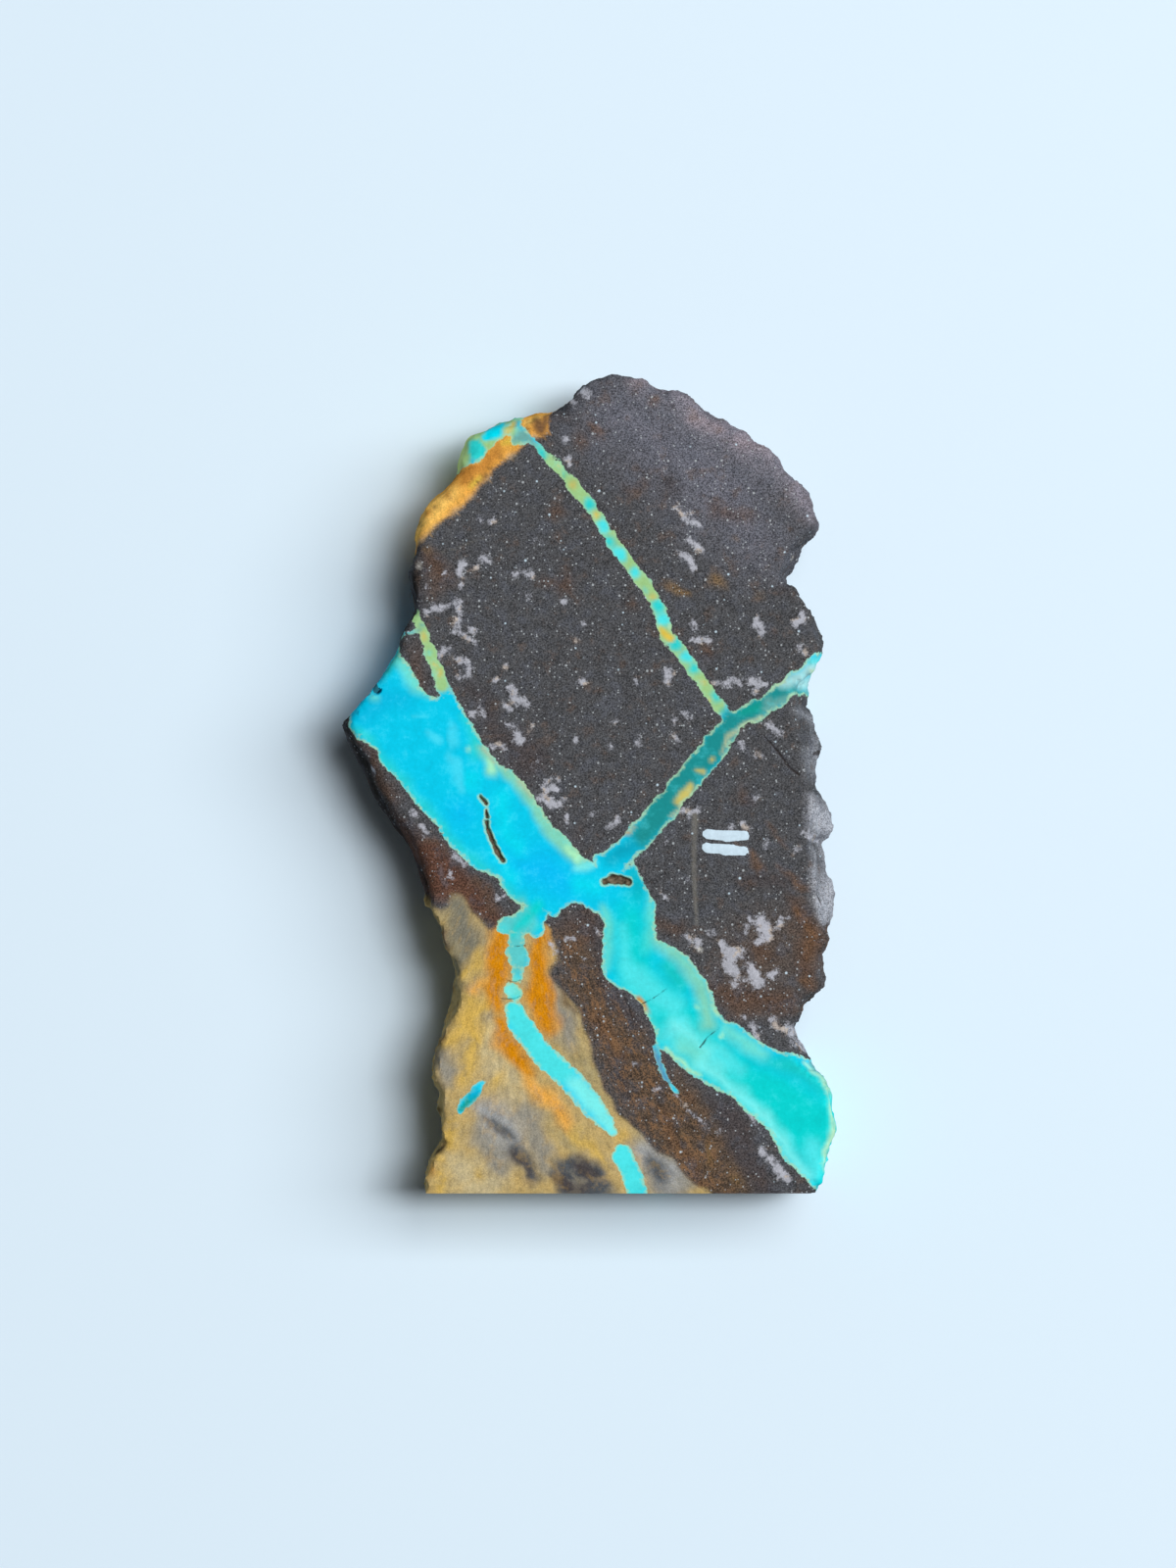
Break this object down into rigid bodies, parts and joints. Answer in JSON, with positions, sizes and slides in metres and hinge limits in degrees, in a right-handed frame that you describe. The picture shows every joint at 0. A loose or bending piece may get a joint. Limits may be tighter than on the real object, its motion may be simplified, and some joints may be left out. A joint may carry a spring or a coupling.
{
  "type": "turquoise vein slab",
  "caption": "Flat sawn slab of dark rock crossed by branching turquoise veins, with natural broken sides, one straight saw cut and two open pockets in the vein.",
  "frame": {"origin": "middle of the outline's box, on the sawn back", "axes": "+Z out of the sawn face, +Y along the slab away from the saw cut end, +X to the right of the face"},
  "size_m": [0.051, 0.0836, 0.013],
  "materials": {
    "turquoise_stone": "lapped satin face with turquoise veins, rough broken sides"
  },
  "bodies": {
    "root": {"turquoise_slab": "turquoise_stone"}
  },
  "joints": []
}
